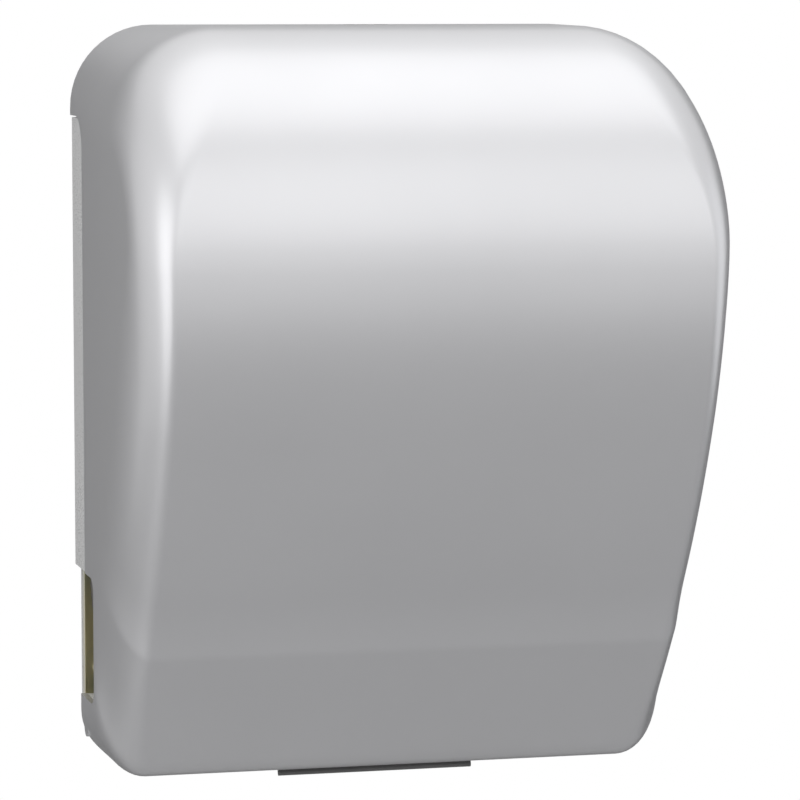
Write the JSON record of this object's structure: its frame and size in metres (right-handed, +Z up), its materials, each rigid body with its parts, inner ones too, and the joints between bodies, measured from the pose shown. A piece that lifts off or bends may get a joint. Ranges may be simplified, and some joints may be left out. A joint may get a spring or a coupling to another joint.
{
  "type": "lever paper towel dispenser",
  "caption": "Wall-mounted paper towel dispenser with a hinged, locking, rounded cover, a push lever under the outlet, geared feed rollers and sprung roll arms.",
  "frame": {"origin": "centre of the four wall-fixing holes, on the wall plane", "axes": "+X to the right as seen from the front, +Y into the wall, +Z up"},
  "size_m": [0.29, 0.1999, 0.3761],
  "materials": {
    "cover_silver": "satin silver-grey moulded plastic",
    "tray_grey": "pale grey moulded plastic",
    "zinc_steel": "yellow zinc plated steel sheet",
    "bright_steel": "bright turned steel",
    "spring_steel": "drawn spring wire",
    "chrome_lock": "nickel plated lock",
    "dark_wheel": "dark brown-grey plastic",
    "feed_rubber": "soft dark rubber",
    "guide_grey": "mid grey moulded plastic",
    "gear_nylon": "natural nylon",
    "arm_grey": "dark grey moulded plastic",
    "bush_nylon": "black acetal",
    "lever_grey": "grey moulded plastic"
  },
  "bodies": {
    "root": {"back_tray": "tray_grey", "cover_hinge_pins": "bright_steel", "left_bracket": "zinc_steel", "right_bracket": "zinc_steel", "bracket_screws": "bright_steel", "feed_shaft_bushes": "bush_nylon", "pressure_shaft_bushes": "bush_nylon", "lever_shaft_bushes": "bush_nylon", "lever_return_spring": "spring_steel", "front_paper_guide": "guide_grey", "rear_paper_guide": "guide_grey", "guide_screws": "bright_steel", "tear_bar": "bright_steel", "tear_bar_screws": "bright_steel", "roll_arm_hinge_pins": "bright_steel", "roll_arm_springs": "spring_steel"},
    "cover": {"front_cover": "cover_silver", "lock_housing": "chrome_lock", "lock_nut": "chrome_lock"},
    "lock": {"lock_rotor": "chrome_lock", "lock_cam": "zinc_steel", "lock_cam_screw": "bright_steel"},
    "feed_roller": {"feed_shaft": "bright_steel", "feed_shaft_clips": "spring_steel", "feed_roller_core": "guide_grey", "feed_roller_rings": "feed_rubber", "manual_feed_wheel": "dark_wheel"},
    "pressure_roller": {"pressure_shaft": "bright_steel", "pressure_shaft_clips": "spring_steel", "pressure_rollers": "guide_grey"},
    "lever": {"lever_paddle": "lever_grey", "lever_shaft": "bright_steel", "lever_shaft_clips": "spring_steel", "sector_gear": "gear_nylon"},
    "pinion": {"drive_pinion": "gear_nylon", "one_way_clutch": "bright_steel"},
    "right_arm": {"right_roll_arm": "arm_grey", "right_hub_pin": "bright_steel"},
    "left_arm": {"left_roll_arm": "arm_grey", "left_hub_pin": "bright_steel"},
    "right_hub": {"right_roll_hub": "guide_grey"},
    "left_hub": {"left_roll_hub": "guide_grey"}
  },
  "joints": [
    {"name": "cover_hinge", "type": "hinge", "parent": "root", "child": "cover", "pos_m": [0, -0.026, -0.21], "axis": [1, 0, 0], "range_deg": [0, 90]},
    {"name": "lock_turn", "type": "hinge", "parent": "cover", "child": "lock", "pos_m": [0, -0.03, 0.126], "axis": [0, 0, 1], "range_deg": [0, 90]},
    {"name": "feed_roller_spin", "type": "hinge", "parent": "root", "child": "feed_roller", "pos_m": [0, -0.045, -0.133], "axis": [1, 0, 0], "continuous": true},
    {"name": "pressure_roller_spin", "type": "hinge", "parent": "root", "child": "pressure_roller", "pos_m": [0, -0.0733, -0.133], "axis": [1, 0, 0], "continuous": true},
    {"name": "lever_swing", "type": "hinge", "parent": "root", "child": "lever", "pos_m": [0, -0.03, -0.17965], "axis": [1, 0, 0], "range_deg": [0, 30], "stiffness_Nm_per_rad": 0.6, "springref_deg": -20.05},
    {"name": "pinion_turn", "type": "hinge", "parent": "root", "child": "pinion", "pos_m": [0.13, -0.045, -0.133], "axis": [1, 0, 0], "range_deg": [-160, 0]},
    {"name": "right_arm_swing", "type": "hinge", "parent": "root", "child": "right_arm", "pos_m": [0.112, -0.014, 0.026], "axis": [0, 0, 1], "range_deg": [0, 12], "stiffness_Nm_per_rad": 0.5, "springref_deg": -11.46},
    {"name": "left_arm_swing", "type": "hinge", "parent": "root", "child": "left_arm", "pos_m": [-0.112, -0.014, 0.026], "axis": [0, 0, -1], "range_deg": [0, 12], "stiffness_Nm_per_rad": 0.5, "springref_deg": -11.46},
    {"name": "right_hub_spin", "type": "hinge", "parent": "right_arm", "child": "right_hub", "pos_m": [0.1, -0.102, 0.026], "axis": [1, 0, 0], "continuous": true},
    {"name": "left_hub_spin", "type": "hinge", "parent": "left_arm", "child": "left_hub", "pos_m": [-0.1, -0.102, 0.026], "axis": [1, 0, 0], "continuous": true}
  ],
  "couplings": [
    {"joint": "pressure_roller_spin", "follows": "feed_roller_spin", "ratio": -1.5455},
    {"joint": "pinion_turn", "follows": "lever_swing", "ratio": -5.125}
  ]
}
